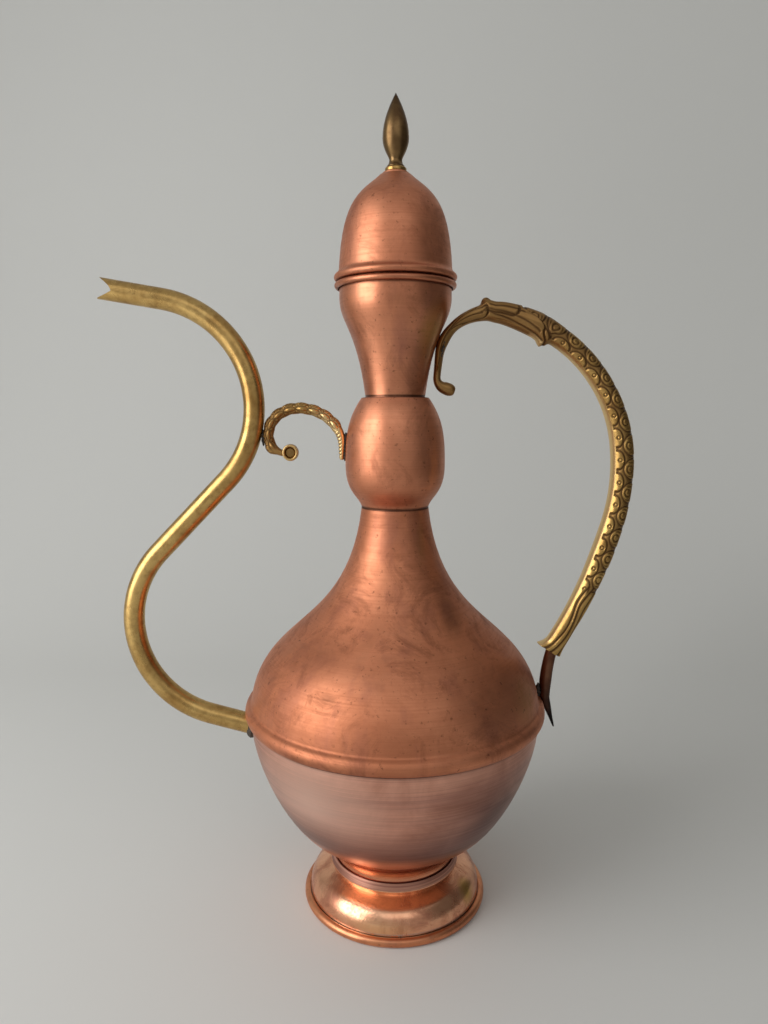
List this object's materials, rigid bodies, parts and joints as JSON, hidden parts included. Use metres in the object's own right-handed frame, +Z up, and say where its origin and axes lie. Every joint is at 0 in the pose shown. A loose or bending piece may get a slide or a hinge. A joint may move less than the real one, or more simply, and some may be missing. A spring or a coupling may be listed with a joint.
{
  "type": "lidded ewer",
  "caption": "Tall copper ewer with a brass S-shaped spout, scroll brace, cast brass handle and a loose domed lid with a bud finial.",
  "frame": {"origin": "middle of the foot's flat underside", "axes": "+Z up along the ewer's axis; the spout reaches towards -X and the handle towards +X; the picture is taken from -Y"},
  "size_m": [0.4016, 0.2336, 0.6136],
  "materials": {
    "body_copper": "worn satin copper sheet, turned, with brown tarnish",
    "spout_brass": "satin drawn brass tube",
    "cast_brass": "antique cast brass with dark recesses",
    "dark_strap": "dark brown oxidised strap",
    "solder": "dull black soft solder",
    "fixing_steel": "plain steel wire and fixings"
  },
  "bodies": {
    "vessel": {"base_plate": "body_copper", "foot_skirt": "body_copper", "bowl": "body_copper", "shoulder": "body_copper", "neck_bulb": "body_copper", "neck_funnel": "body_copper", "neck_rim_wire": "fixing_steel", "spout_tube": "spout_brass", "spout_root_solder": "solder", "spout_brace": "cast_brass", "brace_spout_solder": "solder", "brace_bulb_solder": "solder", "handle": "cast_brass", "handle_tang": "dark_strap", "handle_neck_solder": "solder", "handle_shoulder_solder": "solder"},
    "lid": {"lid_dome": "body_copper", "lid_sleeve": "body_copper", "finial_collar": "spout_brass", "finial": "cast_brass", "finial_stud": "fixing_steel", "finial_washer": "fixing_steel", "finial_nut": "fixing_steel"}
  },
  "joints": [
    {"name": "lid_lift", "type": "slide", "parent": "vessel", "child": "lid", "axis": [0, 0, 1], "range_m": [0, 0.08]}
  ]
}
